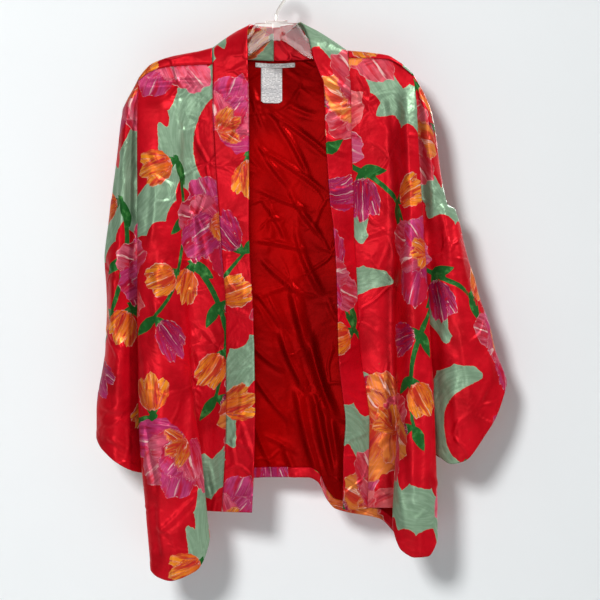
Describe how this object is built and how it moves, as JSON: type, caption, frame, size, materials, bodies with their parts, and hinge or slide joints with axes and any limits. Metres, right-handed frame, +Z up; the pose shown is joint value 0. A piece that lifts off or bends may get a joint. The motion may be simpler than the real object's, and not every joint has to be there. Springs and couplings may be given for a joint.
{
  "type": "kimono jacket on a clear hanger",
  "caption": "Open-front kimono jacket of lined satin with a long neckband and loose sleeves, hung on a clear hanger so that its front edges fall open over the back lining.",
  "frame": {"origin": "Inside top of the hanger's hook, where a rail bears on it.", "axes": "+Z up, -Y is the way the front opening faces, +X is the wearer's left."},
  "size_m": [0.6766, 0.092, 0.98],
  "materials": {
    "print_satin": "satin, painterly flowers on red",
    "band_satin": "satin, painterly flowers on red, doubled",
    "lining_satin": "plain red satin, creased",
    "label_satin": "white woven satin, blank",
    "clear_plastic": "clear, glossy, moulded"
  },
  "bodies": {
    "root": {"back_panel": "print_satin", "front_right": "print_satin", "front_left": "print_satin", "sleeve_right": "print_satin", "sleeve_left": "print_satin", "neckband_right": "band_satin", "neckband_left": "band_satin", "hem_facing": "band_satin", "back_lining": "lining_satin", "neck_label": "label_satin", "care_label": "label_satin", "hanger": "clear_plastic"}
  },
  "joints": []
}
